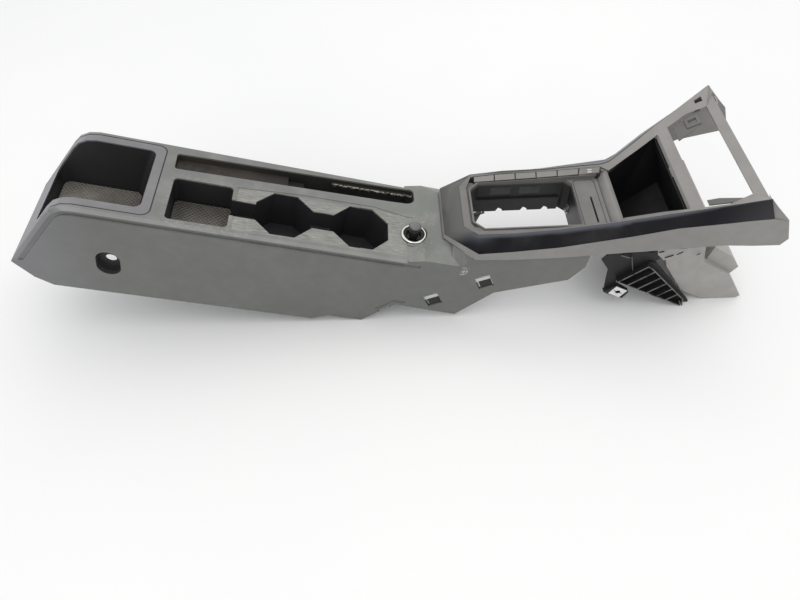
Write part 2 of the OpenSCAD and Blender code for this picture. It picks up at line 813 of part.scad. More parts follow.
// Ribbed bracket: a web with a rim and ribs that face outwards

module bracket_rim(thick) {
    outline = [[841, 183], [867, 226], [876, 223], [965, 169], [975, 151]];
    difference() {
        polygon(outline);
        offset(delta = -thick) polygon(outline);
    }
}

module front_bracket() {
    outline = [[841, 183], [867, 226], [876, 223], [965, 169], [975, 151]];
    arm = [[806, 236], [800, 214], [820, 197], [838, 153], [850, 150], [846, 180], [841, 183], [867, 226],
        [876, 223], [888, 250], [840, 262]];
    web = 2;
    dir = unit([89, -54]);
    color([0.42, 0.41, 0.40]) difference() {
        union() {
            side_plate(outline, -bracket_y - web, -bracket_y);
            side_plate(arm, -bracket_y - web, -bracket_y);
            translate([0, -bracket_y - web, 0]) rotate([90, 0, 0]) linear_extrude(rib_h) {
                bracket_rim(rib_t);
                intersection() {
                    polygon(outline);
                    for (k = [0:4]) translate([884 + dir[0] * 19 * k, 218 + dir[1] * 19 * k])
                        rotate(-122) translate([0, -rib_t / 2]) square([90, rib_t]);
                }
            }
            side_plate([[836, 153], [846, 150], [872, 146], [874, 162], [848, 172]], -bracket_y - 8, -bracket_y);
            side_plate([[868, 226], [872, 229], [880, 228.5], [982, 160], [980, 152], [974, 151.5], [967, 166],
                [877, 222]], -bracket_y - 5, -bracket_y);
        }
        translate([857, -bracket_y + 1, 159]) rotate([90, 0, 0]) cylinder(d = foot_bore, h = 12);
    }
}

module front_bracket_right() {
    front_bracket();
}

module front_bracket_left() {
    mirror([0, 1, 0]) front_bracket();
}

module bracket_clips() {
    color([0.88, 0.88, 0.86]) both_sides() translate([857, -bracket_y - 8 - clip_t - 0.1, 159])
        rotate([0, 14, 0]) difference() {
            translate([-11, 0, -9]) cube([22, clip_t, 18]);
            translate([0, 4, 0]) rotate([90, 0, 0]) cylinder(d = foot_bore + 1, h = 8);
            translate([-8, -1, -1]) cube([16, 4, 2]);
        }
}

module side_clips() {
    color([0.78, 0.80, 0.76]) both_sides() for (w = [[583, 87], [644, 144]]) {
        translate([w[0], -half_w + wall + clip_t / 2 + fit, w[1]]) rotate([0, -38, 0]) {
            translate([0, 0, 5]) cube([28, clip_t, 7], center = true);
            translate([0, 2, -9]) rotate([-24, 0, 0]) cube([18, clip_t, 11], center = true);
            for (x = [-12, 12]) translate([x, 0, 0]) cube([3, clip_t, 32], center = true);
            translate([0, 0, -14.5]) cube([26, clip_t, 3], center = true);
        }
    }
}

module dash_clips() {
    color([0.62, 0.64, 0.66]) both_sides() translate([912.8, -104, 405]) rotate([0, 48, 0]) {
        cube([13, 8, clip_t]);
        translate([12.5, 1, -5]) rotate([0, -18, 0]) cube([clip_t, 6, 6]);
    }
}

module placed() {
    translate([-part_len / 2, 0, 0]) children();
}

placed() console_body();
placed() rear_trim();
placed() bin_tub();
placed() bin_mat();
placed() cup_tray();
placed() tray_mat();
placed() brake_slot_liner();
placed() power_socket();
placed() socket_ring();
placed() lighter_knob();
placed() trim_frame();
placed() accent_trim();
placed() selector_panel();
placed() switch_carrier();
placed() switch_blank_1();
placed() switch_blank_2();
placed() switch_blank_3();
placed() switch_blank_4();
placed() switch_blank_5();
placed() mode_switch();
placed() storage_tub();
placed() climate_plate_left();
placed() climate_plate_right();
placed() lower_housing();
placed() front_bracket_left();
placed() front_bracket_right();
placed() bracket_clips();
placed() side_clips();
placed() dash_clips();
placed() panel_clip();
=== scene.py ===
"""Looks of a floor console for a car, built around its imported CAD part."""

import logging
import math
from dataclasses import dataclass
from enum import Enum

import bmesh
import bpy
from mathutils import Matrix, Vector


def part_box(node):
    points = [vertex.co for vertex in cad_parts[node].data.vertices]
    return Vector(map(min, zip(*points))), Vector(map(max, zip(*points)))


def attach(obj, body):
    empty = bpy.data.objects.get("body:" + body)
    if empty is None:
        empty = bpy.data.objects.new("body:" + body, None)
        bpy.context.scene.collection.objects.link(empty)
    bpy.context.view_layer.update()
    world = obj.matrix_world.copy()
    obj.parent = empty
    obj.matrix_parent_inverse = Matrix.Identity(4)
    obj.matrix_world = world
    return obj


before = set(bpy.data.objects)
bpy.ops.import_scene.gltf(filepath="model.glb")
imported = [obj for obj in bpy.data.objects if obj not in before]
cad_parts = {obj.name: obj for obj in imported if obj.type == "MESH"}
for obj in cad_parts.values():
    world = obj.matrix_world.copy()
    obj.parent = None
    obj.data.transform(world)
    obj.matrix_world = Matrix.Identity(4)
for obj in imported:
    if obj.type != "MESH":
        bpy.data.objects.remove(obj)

log = logging.getLogger("console")
MM = 0.001
STATION_ZERO = -0.530
WELD_REACH = 1e-5
HARD_EDGE = math.radians(32)
LATTICE_PITCH = 0.0062
LATTICE_DEPTH = 0.0009
SLIT_SIDE = -63.6

Colour = tuple[float, float, float]
Triple = tuple[float, float, float]


def at(station: float, y: float, z: float) -> Vector:
    """Turns a station from the rear tip and two offsets, in millimetres, into a point of the frame.

    Args:
        station: Distance forward of the rear tip.
        y: Distance to the vehicle's left.
        z: Height above the lower edge.

    Returns:
        The point in metres.
    """
    return Vector((STATION_ZERO + station * MM, y * MM, z * MM))


def middle(node: str) -> Vector:
    """Finds the middle of a CAD node.

    Args:
        node: Name of the node.

    Returns:
        The middle of its box.
    """
    low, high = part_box(node)
    return (Vector(low) + Vector(high)) / 2


@dataclass(frozen=True)
class Plane:
    """A plane that leans back along the console, through a point."""

    start: Vector
    tilt: float


DECK = Plane(at(0, 0, 162), 0.0)
PANEL = Plane(at(592, 0, 212.5), math.radians(16.7))
SIDE_CLIPS = (Plane(at(583, 0, 87), math.radians(38)), Plane(at(644, 0, 144), math.radians(38)))
CREST_RUNS = ((653, 237, 0.342), (713, 257.5, 0.412), (787, 288, 0.636), (798, 295, 1.17))
SLOT_SLOPE = math.tan(math.radians(1.9))
# Near-black for grime, dark joints and gaps, and also for painted shade.
GRIME_AND_SHADE: Colour = (0.012, 0.012, 0.012)


class Grain(Enum):
    """Surface structure of a finish."""

    MOULDED = "moulded"
    LATTICE = "lattice"
    BRUSHED = "brushed"
    POLISHED = "polished"


class Value:
    """A number or colour in a node tree, with arithmetic that adds the nodes it needs."""

    def __init__(self, net: "Net", socket: bpy.types.NodeSocket) -> None:
        """Keeps the tree and the socket that carries the value."""
        self.net = net
        self.socket = socket

    def _maths(self, operation: str, first: object, second: object) -> "Value":
        """Adds one Math node.

        Args:
            operation: The node's operation.
            first: Its first value.
            second: Its second value.

        Returns:
            The result.
        """
        return self.net.node("ShaderNodeMath", {"operation": operation}, {0: first, 1: second})

    def __add__(self, other: object) -> "Value":
        """self + other."""
        return self._maths("ADD", self, other)

    def __radd__(self, other: object) -> "Value":
        """other + self."""
        return self._maths("ADD", other, self)

    def __sub__(self, other: object) -> "Value":
        """self - other."""
        return self._maths("SUBTRACT", self, other)

    def __rsub__(self, other: object) -> "Value":
        """other - self."""
        return self._maths("SUBTRACT", other, self)

    def __mul__(self, other: object) -> "Value":
        """self * other."""
        return self._maths("MULTIPLY", self, other)

    def __rmul__(self, other: object) -> "Value":
        """other * self."""
        return self._maths("MULTIPLY", other, self)

    def __pow__(self, other: object) -> "Value":
        """self to the power of other."""
        return self._maths("POWER", self, other)

    def least(self, other: object) -> "Value":
        """The smaller of self and other."""
        return self._maths("MINIMUM", self, other)

    def most(self, other: object) -> "Value":
        """The larger of self and other."""
        return self._maths("MAXIMUM", self, other)

    def size(self) -> "Value":
        """The value without its sign."""
        return self.net.node("ShaderNodeMath", {"operation": "ABSOLUTE"}, {0: self})

    def step(self, low: float, high: float) -> "Value":
        """Rises smoothly from 0 at low to 1 at high.

        Args:
            low: Where the rise starts.
            high: Where it ends. A high below low gives a fall.

        Returns:
            The share, from 0 to 1.
        """
        if low < high:
            return self.net.node(
                "ShaderNodeMapRange",
                {"interpolation_type": "SMOOTHSTEP"},
                {"Value": self, "From Min": low, "From Max": high},
            )
        return 1.0 - self.step(high, low)


class Net:
    """The node tree of one material."""

    def __init__(self, name: str) -> None:
        """Makes an empty material with a shader and an output.

        Args:
            name: Name of the material.
        """
        self.material = bpy.data.materials.new(name)
        self.material.use_nodes = True
        self.tree = self.material.node_tree
        self.shader = self.tree.nodes["Principled BSDF"]
        place = self.tree.nodes.new("ShaderNodeTexCoord")
        self.place = Value(self, place.outputs["Object"])
        parts = self.tree.nodes.new("ShaderNodeSeparateXYZ")
        self.tree.links.new(place.outputs["Object"], parts.inputs[0])
        self.x, self.y, self.z = (Value(self, parts.outputs[k]) for k in range(3))

    def node(self, kind: str, settings: dict[str, object], values: dict, output: object = 0) -> Value:
        """Adds any node.

        Args:
            kind: The node's type.
            settings: Its properties, set first.
            values: What its sockets take, numbers or other values.
            output: Name or number of the output to use.

        Returns:
            That output.
        """
        made = self.tree.nodes.new(kind)
        for key, value in settings.items():
            setattr(made, key, value)
        for key, value in values.items():
            self._give(made.inputs[key], value)
        return Value(self, made.outputs[output])

    def _give(self, socket: bpy.types.NodeSocket, value: object) -> None:
        """Links a value to a socket, or writes a number or a vector into it.

        Args:
            socket: The socket.
            value: What it takes.
        """
        if isinstance(value, Value):
            self.tree.links.new(value.socket, socket)
        else:
            socket.default_value = value

    def noise(
        self, scale: float, detail: float = 3.0, stretch: Triple = (1, 1, 1), shift: float = 0
    ) -> Value:
        """Noise from 0 to 1 in the frame's metres.

        Args:
            scale: Waves per metre.
            detail: Number of octaves.
            stretch: Scale along each axis.
            shift: Offset that makes one noise differ from another.

        Returns:
            The noise.
        """
        place = self.node(
            "ShaderNodeMapping",
            {"vector_type": "POINT"},
            {"Vector": self.place, "Location": (shift, shift, shift), "Scale": stretch},
        )
        return self.node("ShaderNodeTexNoise", {}, {"Vector": place, "Scale": scale, "Detail": detail})

    def mix(self, share: object, first: object, second: object) -> Value:
        """Mixes two colours.

        Args:
            share: Share of the second colour.
            first: The first colour, a tuple or a value.
            second: The second colour.

        Returns:
            The mixed colour.
        """
        colours = [(*colour, 1) if isinstance(colour, tuple) else colour for colour in (first, second)]
        values = {0: share, 6: colours[0], 7: colours[1]}
        return self.node("ShaderNodeMix", {"data_type": "RGBA"}, values, 2)

    def box_mask(self, low: Vector, high: Vector, soft: float) -> Value:
        """A mask that is 1 inside a box and fades out over its border.

        Args:
            low: Lowest corner.
            high: Highest corner.
            soft: Width of the fade, in metres.

        Returns:
            The mask.
        """
        mask = None
        for axis, a, b in zip((self.x, self.y, self.z), low, high):
            side = axis.step(a - soft, a) * axis.step(b + soft, b)
            mask = side if mask is None else mask * side
        return mask

    def ramp(self, start: float, end: float) -> Value:
        """A mask that rises from 0 at one station to 1 at another.

        Args:
            start: Station of the 0, in millimetres.
            end: Station of the 1. An end behind the start gives a mask of the rear.

        Returns:
            The mask.
        """
        return self.x.step(at(start, 0, 0).x, at(end, 0, 0).x)

    def along(self, plane: Plane) -> Value:
        """Distance up a leaning plane, in metres."""
        forward = (self.x - plane.start.x) * math.cos(plane.tilt)
        return forward + (self.z - plane.start.z) * math.sin(plane.tilt)

    def above(self, plane: Plane) -> Value:
        """Height over a leaning plane, in metres."""
        upward = (self.z - plane.start.z) * math.cos(plane.tilt)
        return upward - (self.x - plane.start.x) * math.sin(plane.tilt)

    def outline(
        self, plane: Plane, low: tuple[float, float], high: tuple[float, float], radius: float
    ) -> Value:
        """Distance to a rounded rectangle drawn on a leaning plane.

        Args:
            plane: The plane.
            low: Its lowest corner along and across the plane, in millimetres.
            high: Its highest corner.
            radius: Radius of its corners, in millimetres.

        Returns:
            The distance in metres, below 0 inside.
        """
        past = []
        for way, a, b in zip((self.along(plane), self.y), low, high):
            past.append((way - (a + b) / 2 * MM).size() - ((b - a) / 2 - radius) * MM)
        outside = (past[0].most(0.0) ** 2.0 + past[1].most(0.0) ** 2.0) ** 0.5
        return outside + past[0].most(past[1]).least(0.0) - radius * MM

    def seam(self, distance: Value, width: float) -> Value:
        """A mask of a narrow line where a distance is near 0.

        Args:
            distance: The distance in metres.
            width: Half the line's width, in millimetres.

        Returns:
            The mask.
        """
        return distance.size().step(width * 1.5 * MM, width * 0.5 * MM)

    def facing_up(self, low: float, high: float) -> Value:
        """A mask of the faces that look upward.

        Args:
            low: Upward share of the normal at which it starts.
            high: Share at which it is full.

        Returns:
            The mask.
        """
        normal = self.node("ShaderNodeNewGeometry", {}, {}, "Normal")
        return self.node("ShaderNodeSeparateXYZ", {}, {0: normal}, 2).step(low, high)

    def bump(self, height: Value, strength: float, depth: float) -> None:
        """Feeds a height into the shader's normal.

        Args:
            height: The height, from 0 to 1.
            strength: Strength of the bump.
            depth: Depth of a height of 1, in metres.
        """
        made = self.node("ShaderNodeBump", {}, {"Height": height, "Strength": strength, "Distance": depth})
        self.tree.links.new(made.socket, self.shader.inputs["Normal"])

    def feed(self, name: str, value: object) -> None:
        """Sets or links one socket of the shader.

        Args:
            name: Name of the socket.
            value: A number or a value.
        """
        self._give(self.shader.inputs[name], value)


def crest_height(net: Net) -> Value:
    """Height of the rails' crest over each station: four straight runs, each steeper than the last.

    Args:
        net: The material's nodes.

    Returns:
        The height in metres.
    """
    height = None
    for station, z, slope in CREST_RUNS:
        start = at(station, 0, z)
        run = (net.x - start.x) * slope + start.z
        height = run if height is None else height.most(run)
    return height


@dataclass(frozen=True)
class Finish:
    """A material of the console."""

    name: str
    colour: Colour
    rough: float
    grain: Grain = Grain.MOULDED
    dust: float = 0.12
    dust_colour: Colour = (0.42, 0.40, 0.37)
    scratches: float = 0.25
    grain_depth: float = 0.00012
    grain_scale: float = 1500.0
    metal: float = 0.0
    shine: float = 0.5
    mottle: float = 0.10
    scratch_share: float = 0.35

    def build(self) -> bpy.types.Material:
        """Makes the material.

        Returns:
            The material, ready to be put on a mesh.
        """
        net = Net(self.name)
        shade = net.noise(9, 4) * 0.5 + net.noise(60, 3, shift=3.1) * 0.5
        base = net.mix(
            shade.step(0.3, 0.75),
            tuple(c * (1 - self.mottle) for c in self.colour),
            tuple(min(1.0, c * (1 + self.mottle)) for c in self.colour),
        )
        specks = net.noise(700, 2, shift=7.7).step(0.66, 0.74)
        film = net.noise(22, 5, shift=1.3).step(0.42, 0.72)
        dust = (film * 0.75 + specks * 0.6) * net.facing_up(0.2, 0.9) * self.dust
        base = self.paint(net, net.mix(dust, base, self.dust_colour))
        lines = self.lines(net) * self.scratches
        net.feed("Base Color", net.mix(lines * self.scratch_share, base, self.dust_colour))
        net.feed("Roughness", self.rough + (shade - 0.5) * 0.12 + dust * 0.25 - lines * 0.08)
        net.feed("Metallic", self.metal)
        net.feed("Specular IOR Level", self.shine)
        self.relief(net)
        return net.material

    def paint(self, net: Net, base: Value) -> Value:
        """Adds what only this finish has to the colour; a plain finish adds nothing."""
        return base

    def lines(self, net: Net) -> Value:
        """Fine scratches along the console's length.

        Args:
            net: The material's nodes.

        Returns:
            A mask of the scratches.
        """
        fine = net.noise(60, 2, (1, 30, 30), 5.2).step(0.68, 0.72)
        patchy = net.noise(14, 2, shift=9.4).step(0.45, 0.65)
        return fine * patchy

    def relief(self, net: Net) -> None:
        """Feeds the surface structure into the normal.

        Args:
            net: The material's nodes.
        """
        if self.grain is Grain.LATTICE:
            net.bump(self.lattice(net), 1.0, LATTICE_DEPTH)
        elif self.grain is Grain.BRUSHED:
            net.bump(net.noise(180, 3, (1, 1, 14)), 0.3, self.grain_depth)
        elif self.grain is Grain.POLISHED:
            net.bump(net.noise(35, 2), 0.10, self.grain_depth)
        else:
            cells = net.node(
                "ShaderNodeTexVoronoi", {"feature": "F1"}, {"Vector": net.place, "Scale": self.grain_scale}
            )
            net.bump(cells * 0.7 + net.noise(self.grain_scale * 1.7, 2) * 0.3, 0.45, self.grain_depth)

    @staticmethod
    def rib(net: Net, way: Value) -> Value:
        """Narrow ridges across a direction.

        Args:
            net: The material's nodes.
            way: Distance along the direction, in metres.

        Returns:
            The height, from 0 to 1.
        """
        turn = net.node("ShaderNodeMath", {"operation": "SINE"}, {0: way * (2 * math.pi / LATTICE_PITCH)})
        return (turn * 0.5 + 0.5) ** 3.0

    def lattice(self, net: Net) -> Value:
        """Ridges that cross each other aslant, as a height from 0 to 1."""
        return self.rib(net, net.x + net.y).most(self.rib(net, net.x - net.y))


@dataclass(frozen=True)
class ShellFinish(Finish):
    """The body's plastic: streaked round the cups, scuffed on the walls, with painted shade on the walls and
    in the oval recesses and a painted highlight on the chamfer.
    """

    streak: Colour = (0.38, 0.36, 0.32)
    powder: Colour = (0.40, 0.38, 0.34)
    rear_sheen: Colour = (0.27, 0.26, 0.31)
    scuffed: Colour = (0.62, 0.62, 0.60)
    smeared: Colour = (0.45, 0.42, 0.36)
    front_sheen: Colour = (0.30, 0.32, 0.28)
    edge_highlight: Colour = (0.42, 0.42, 0.42)
    recess_shade: Colour = (0.020, 0.020, 0.022)

    def paint(self, net: Net, base: Value) -> Value:
        """Adds the dust of the sunken panel, the pale rear, the scuffs, painted shade on the walls, under the
        deck edge and in the recesses, a painted highlight on the chamfer, and the rear joint.

        Args:
            net: The material's nodes.
            base: The colour so far.

        Returns:
            The colour.
        """
        panel = net.box_mask(at(284, -66, 159), at(520, 11, 163), 0.004)
        streaks = net.noise(70, 4, (1, 16, 1), 2.2).step(0.45, 0.62)
        base = net.mix(panel * streaks * 0.55, base, self.streak)
        near = net.box_mask(at(196, -72, 159), at(300, 14, 163), 0.01)
        film = net.noise(160, 4, (1, 5, 1), 6.1).step(0.5, 0.66)
        base = net.mix(near * film * 0.35, base, self.powder)
        rear = net.ramp(130, 20)
        base = net.mix(rear * 0.30, base, self.rear_sheen)
        scuff = net.box_mask(at(604, -80, 152), at(611, -74, 168), 0.002)
        base = net.mix(scuff * net.noise(420, 3, shift=4.0).step(0.45, 0.6) * 0.7, base, self.scuffed)
        smear = net.box_mask(at(500, -60, 160), at(560, 10, 175), 0.012)
        base = net.mix(smear * net.noise(240, 4, shift=8.8).step(0.55, 0.7) * 0.3, base, self.smeared)
        front = net.ramp(330, 560) * net.facing_up(0.5, 0.9)
        base = net.mix(front * 0.20, base, self.front_sheen)
        # Painted shade on the faces that look sideways or down.
        base = net.mix(net.facing_up(0.5, 0.1) * 0.17, base, GRIME_AND_SHADE)
        # Painted highlight along the rounded deck edge.
        chamfer = net.facing_up(0.45, 0.60) * net.facing_up(0.90, 0.80) * net.ramp(540, 520)
        base = net.mix(chamfer * 0.22, base, self.edge_highlight)
        # Painted shade on the band of wall just under the deck edge.
        rim = net.box_mask(at(60, -90, 149), at(520, -70, 156), 0.0015)
        base = net.mix(rim * 0.22, base, GRIME_AND_SHADE)
        # Painted shade inside the oval recesses.
        pocket = net.box_mask(at(104, -76.4, 38), at(146, -40, 92), 0.0008)
        base = net.mix(pocket * 0.85, base, self.recess_shade)
        joint = net.seam(net.outline(DECK, (-20, -68.2), (178.7, 68.2), 12.2), 0.9)
        return net.mix(joint * 0.85, base, GRIME_AND_SHADE)


@dataclass(frozen=True)
class UpperFinish(Finish):
    """The frame's satin plastic, with painted shade where it looks up and a painted highlight on the steep
    front.
    """

    top: float = 0.62
    steep_highlight: Colour = (0.50, 0.46, 0.43)

    def paint(self, net: Net, base: Value) -> Value:
        """Paints shade on the faces that look up, darkens the far crest, and paints a highlight on the steep
        front.
        """
        # Painted shade on the faces that look up.
        base = net.mix(net.facing_up(0.62, 0.92), base, net.mix(1.0 - self.top, base, GRIME_AND_SHADE))
        # Painted highlight on the steep front faces that look partly up.
        steep = net.ramp(770, 850) * net.facing_up(0.3, 0.6)
        base = net.mix(steep * 0.14, base, self.steep_highlight)
        under = crest_height(net) - net.z
        far = net.y.step(0.030, 0.040) * net.ramp(615, 650)
        return net.mix(under.step(0.0016, 0.0006) * far * 0.85, base, GRIME_AND_SHADE)


@dataclass(frozen=True)
class PanelFinish(Finish):
    """The selector panel: satin on top, with painted shade down the walls of its opening."""

    wall: Colour = (0.014, 0.014, 0.015)

    def paint(self, net: Net, base: Value) -> Value:
        """Adds painted shade down the walls and the seam round the front plate."""
        base = net.mix(net.seam(net.outline(PANEL, (167, -60), (197.5, 43.5), 6), 0.7) * 0.8, base, GRIME_AND_SHADE)
        # Painted shade, darker the deeper the wall lies below the panel.
        return net.mix(net.above(PANEL).step(-0.003, -0.008), base, self.wall)


@dataclass(frozen=True)
class BankFinish(Finish):
    """The switch covers, with the dark joints between them."""

    start: float = 613.0
    pitch: float = 29.0
    inner: float = 47.6

    def paint(self, net: Net, base: Value) -> Value:
        """Adds the joints at the pitch of the bank and along its inner edge."""
        ahead = net.x - at(self.start, 0, 0).x
        near = net.node("ShaderNodeMath", {"operation": "PINGPONG"}, {0: ahead, 1: self.pitch * MM / 2})
        joints = net.seam(near, 0.9).most(net.seam(net.y - self.inner * MM, 0.8))
        return net.mix(joints * 0.9, base, GRIME_AND_SHADE)


@dataclass(frozen=True)
class BandFinish(Finish):
    """The gloss band, which fades to satin across the rear bar."""

    satin: Colour = (0.125, 0.124, 0.118)
    edge_highlight: Colour = (0.100, 0.106, 0.124)
    front_sheen: Colour = (0.075, 0.070, 0.082)

    def paint(self, net: Net, base: Value) -> Value:
        """Turns the band satin across the rear bar, paints a highlight along its upper edge and a sheen on
        its front.
        """
        bar = net.y.size().step(0.066, 0.050) * net.ramp(640, 620)
        base = net.mix(bar * 0.92, base, self.satin)
        # Painted highlight along the upper edge under the crest, wider at the bend.
        under = crest_height(net) - net.z
        bend = net.ramp(640, 605)
        edge = under.step(0.0055, 0.0005) + bend * under.step(0.016, 0.001) * 0.5
        base = net.mix(edge.least(1.0) * (1.0 - bar) * 0.85, base, self.edge_highlight)
        return net.mix(net.ramp(850, 930) * 0.4, base, self.front_sheen)


@dataclass(frozen=True)
class SlotFinish(Finish):
    """The brake slot's liner: brown with wear at the rear, with painted shadow making it nearly black in
    front.
    """

    shadow: Colour = (0.010, 0.010, 0.010)
    torn_foam: Colour = (0.42, 0.38, 0.30)

    def paint(self, net: Net, base: Value) -> Value:
        """Adds the dark patch on the rear floor, paints shadow over the front and lightens the torn lip."""
        patch = net.box_mask(at(204, 38, 140), at(262, 52, 152), 0.006)
        base = net.mix(patch * net.noise(120, 4, shift=2.9).step(0.35, 0.6) * 0.75, base, GRIME_AND_SHADE)
        # Painted shadow over the front of the slot.
        front = net.ramp(270, 352)
        base = net.mix(front * 0.85, base, self.shadow)
        ledge = at(413, 61, 0)
        torn = (net.noise(160, 3, shift=6.6) - 0.5) * 0.006
        inward = net.y - ledge.y - (net.x - ledge.x) * SLOT_SLOPE + torn
        lip = net.seam(inward, 1.0) * net.box_mask(at(410, 50, 150), at(545, 80, 157), 0.001)
        return net.mix(lip * net.noise(300, 3, shift=1.9).step(0.38, 0.5) * 0.85, base, self.torn_foam)


@dataclass(frozen=True)
class RingFinish(Finish):
    """The socket's ring: bright round its edge, dark inside it."""

    bore: float = 15.0
    lip: float = 15.6
    rim: float = 18.3
    gap: float = 18.6

    def paint(self, net: Net, base: Value) -> Value:
        """Darkens the ring's inner slope and the thin gap round it."""
        centre = middle("socket_ring")
        reach = ((net.x - centre.x).size() ** 2.0 + (net.y - centre.y).size() ** 2.0) ** 0.5
        inside = reach.step(self.lip * MM, self.bore * MM)
        outside = reach.step(self.rim * MM, self.gap * MM)
        return net.mix(inside.most(outside) * 0.97, base, GRIME_AND_SHADE)


@dataclass(frozen=True)
class KnobFinish(Finish):
    """The lighter's knob, dusty on top, with painted shade round its side."""

    side: Colour = (0.008, 0.008, 0.009)

    def paint(self, net: Net, base: Value) -> Value:
        """Paints shade on the side."""
        return net.mix(net.facing_up(0.75, 0.4) * 0.85, base, self.side)


@dataclass(frozen=True)
class MatFinish(Finish):
    """A mat whose lattice has paler ridges, more in patches."""

    ridge: Colour = (0.36, 0.33, 0.28)

    def paint(self, net: Net, base: Value) -> Value:
        """Lightens the ridges."""
        ridges = self.lattice(net)
        patchy = net.noise(30, 3, shift=2.6).step(0.3, 0.7)
        return net.mix(ridges * (patchy * 0.35 + 0.25), base, self.ridge)


@dataclass(frozen=True)
class RibFinish(Finish):
    """The brackets' dark plastic, with a painted highlight on the outer edges of the ribs."""

    edge_highlight: Colour = (0.22, 0.22, 0.21)

    def paint(self, net: Net, base: Value) -> Value:
        """Paints a highlight on the outer edges of the ribs."""
        edge = net.y.size().step(0.0712, 0.0720) * net.noise(90, 3, shift=5.5).step(0.2, 0.6)
        return net.mix(edge * 0.8, base, self.edge_highlight)


@dataclass(frozen=True)
class SpringFinish(Finish):
    """The side clips: a bright upper leaf, with painted shade on the legs."""

    leg_shade: Colour = (0.02, 0.02, 0.02)

    def paint(self, net: Net, base: Value) -> Value:
        """Paints shade on what lies below the upper leaf of each clip."""
        low, high = (net.above(plane) for plane in SIDE_CLIPS)
        front = net.ramp(612, 614)
        over = low * (1.0 - front) + high * front
        return net.mix(over.step(0.0008, 0.0002), base, self.leg_shade)


def painted(finish: Finish, made: dict[str, bpy.types.Material]) -> bpy.types.Material:
    """Gives the material of a finish, made once for all the pieces that share it.

    Args:
        finish: The finish.
        made: Materials already made, by name.

    Returns:
        The material.
    """
    if finish.name not in made:
        made[finish.name] = finish.build()
    return made[finish.name]


@dataclass(frozen=True)
class Dressing:
    """How one CAD node is finished: its edges rounded in millimetres, or split above an angle."""

    node: str
    finish: Finish
    edge: float = 0.6
    split: float = 0.0

    def apply(self, made: dict[str, bpy.types.Material]) -> None:
        """Puts the finish on the node and softens its edges.

        Args:
            made: Materials already made, by name.
        """
        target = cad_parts[self.node]
        material = painted(self.finish, made)
        target.data.materials.clear()
        target.data.materials.append(material)
        if self.split:
            smooth(target, math.radians(self.split))
        else:
            soften(target, self.edge * MM)
        log.info("dressed %s as %s", self.node, self.finish.name)


def weld(target: bpy.types.Object) -> None:
    """Drops a mesh's stored normals, shades it smooth and welds its corners.

    Args:
        target: The mesh object.
    """
    mesh = target.data
    if "custom_normal" in mesh.attributes:
        mesh.attributes.remove(mesh.attributes["custom_normal"])
    mesh.shade_smooth()
    joined = target.modifiers.new("weld", "WELD")
    joined.merge_threshold = WELD_REACH


def smooth(target: bpy.types.Object, angle: float) -> None:
    """Shades a lofted skin as one curve, with sharp edges where it turns by more than an angle.

    Args:
        target: The mesh object.
        angle: The angle in radians.
    """
    weld(target)
    split = target.modifiers.new("creases", "EDGE_SPLIT")
    split.split_angle = angle


def soften(target: bpy.types.Object, width: float) -> None:
    """Rounds the hard edges of a mesh with modifiers and shades its curves smoothly.

    Args:
        target: The mesh object.
        width: Width of the rounding, in metres.
    """
    weld(target)
    bevel = target.modifiers.new("edges", "BEVEL")
    bevel.width = width
    bevel.segments = 2
    bevel.limit_method = "ANGLE"
    bevel.angle_limit = HARD_EDGE
    bevel.use_clamp_overlap = True
    normals = target.modifiers.new("normals", "WEIGHTED_NORMAL")
    normals.keep_sharp = False


SHELL = ShellFinish("grained_shell", (0.158, 0.161, 0.151), 0.52, dust=0.30, scratches=0.30)
TRIM = ShellFinish("grained_trim", (0.168, 0.165, 0.172), 0.50, dust=0.20, scratches=0.30)
UPPER = UpperFinish("satin_frame", (0.225, 0.216, 0.204), 0.42, dust=0.15, scratches=0.22, grain_scale=2200)
PLATE = PanelFinish("satin_panel", (0.138, 0.133, 0.125), 0.42, dust=0.15, scratches=0.22, grain_scale=2200)
COVER = BankFinish("satin_cover", (0.205, 0.196, 0.183), 0.42, dust=0.12, scratches=0.20, grain_scale=2200)
TAB = Finish("satin_tab", (0.120, 0.116, 0.110), 0.48, dust=0.12, scratches=0.15, grain_scale=2200)
PIT = Finish("dark_liner", (0.020, 0.020, 0.022), 0.45, dust=0.05, scratches=0.10)
WELL = Finish("black_well", (0.006, 0.006, 0.007), 0.50, dust=0.04, scratches=0.08, shine=0.25)
SLOT = SlotFinish("bare_liner", (0.034, 0.028, 0.022), 0.70, dust=0.30, dust_colour=(0.16, 0.13, 0.10))
MAT = MatFinish(
    "lattice_mat", (0.105, 0.098, 0.088), 0.62, Grain.LATTICE, dust=0.60, dust_colour=(0.30, 0.28, 0.25)
)
TRAY_MAT = MatFinish(
    "tray_lattice", (0.050, 0.047, 0.044), 0.50, Grain.LATTICE, dust=0.45, dust_colour=(0.28, 0.25, 0.21)
)
GLOSS = BandFinish(
    "gloss_accent", (0.005, 0.005, 0.007), 0.24, Grain.POLISHED, dust=0.05, scratches=0.22, shine=0.14
)
RING = RingFinish(
    "bright_ring", (0.78, 0.78, 0.75), 0.22, Grain.BRUSHED, dust=0.10, scratches=0.10, metal=1.0
)
KNOB = KnobFinish("knob_plastic", (0.050, 0.052, 0.050), 0.42, dust=0.45)
RAW = Finish("raw_plastic", (0.330, 0.318, 0.298), 0.55, dust=0.10, scratches=0.15, grain_depth=0.00006)
RIBBED = RibFinish(
    "bracket_plastic", (0.014, 0.014, 0.015), 0.50, dust=0.08, scratches=0.10, grain_depth=0.00005, shine=0.3
)
STEEL = Finish("zinc_steel", (0.62, 0.64, 0.63), 0.32, Grain.BRUSHED, dust=0.10, metal=1.0)
SPRING = SpringFinish("spring_steel", (0.58, 0.60, 0.56), 0.38, Grain.BRUSHED, dust=0.10, metal=0.3)
PALE = Finish("pale_clip", (0.80, 0.80, 0.78), 0.40, Grain.BRUSHED, dust=0.05, metal=0.2)
MARK = Finish("pale_mark", (0.70, 0.70, 0.68), 0.50, dust=0.0, scratches=0.0)

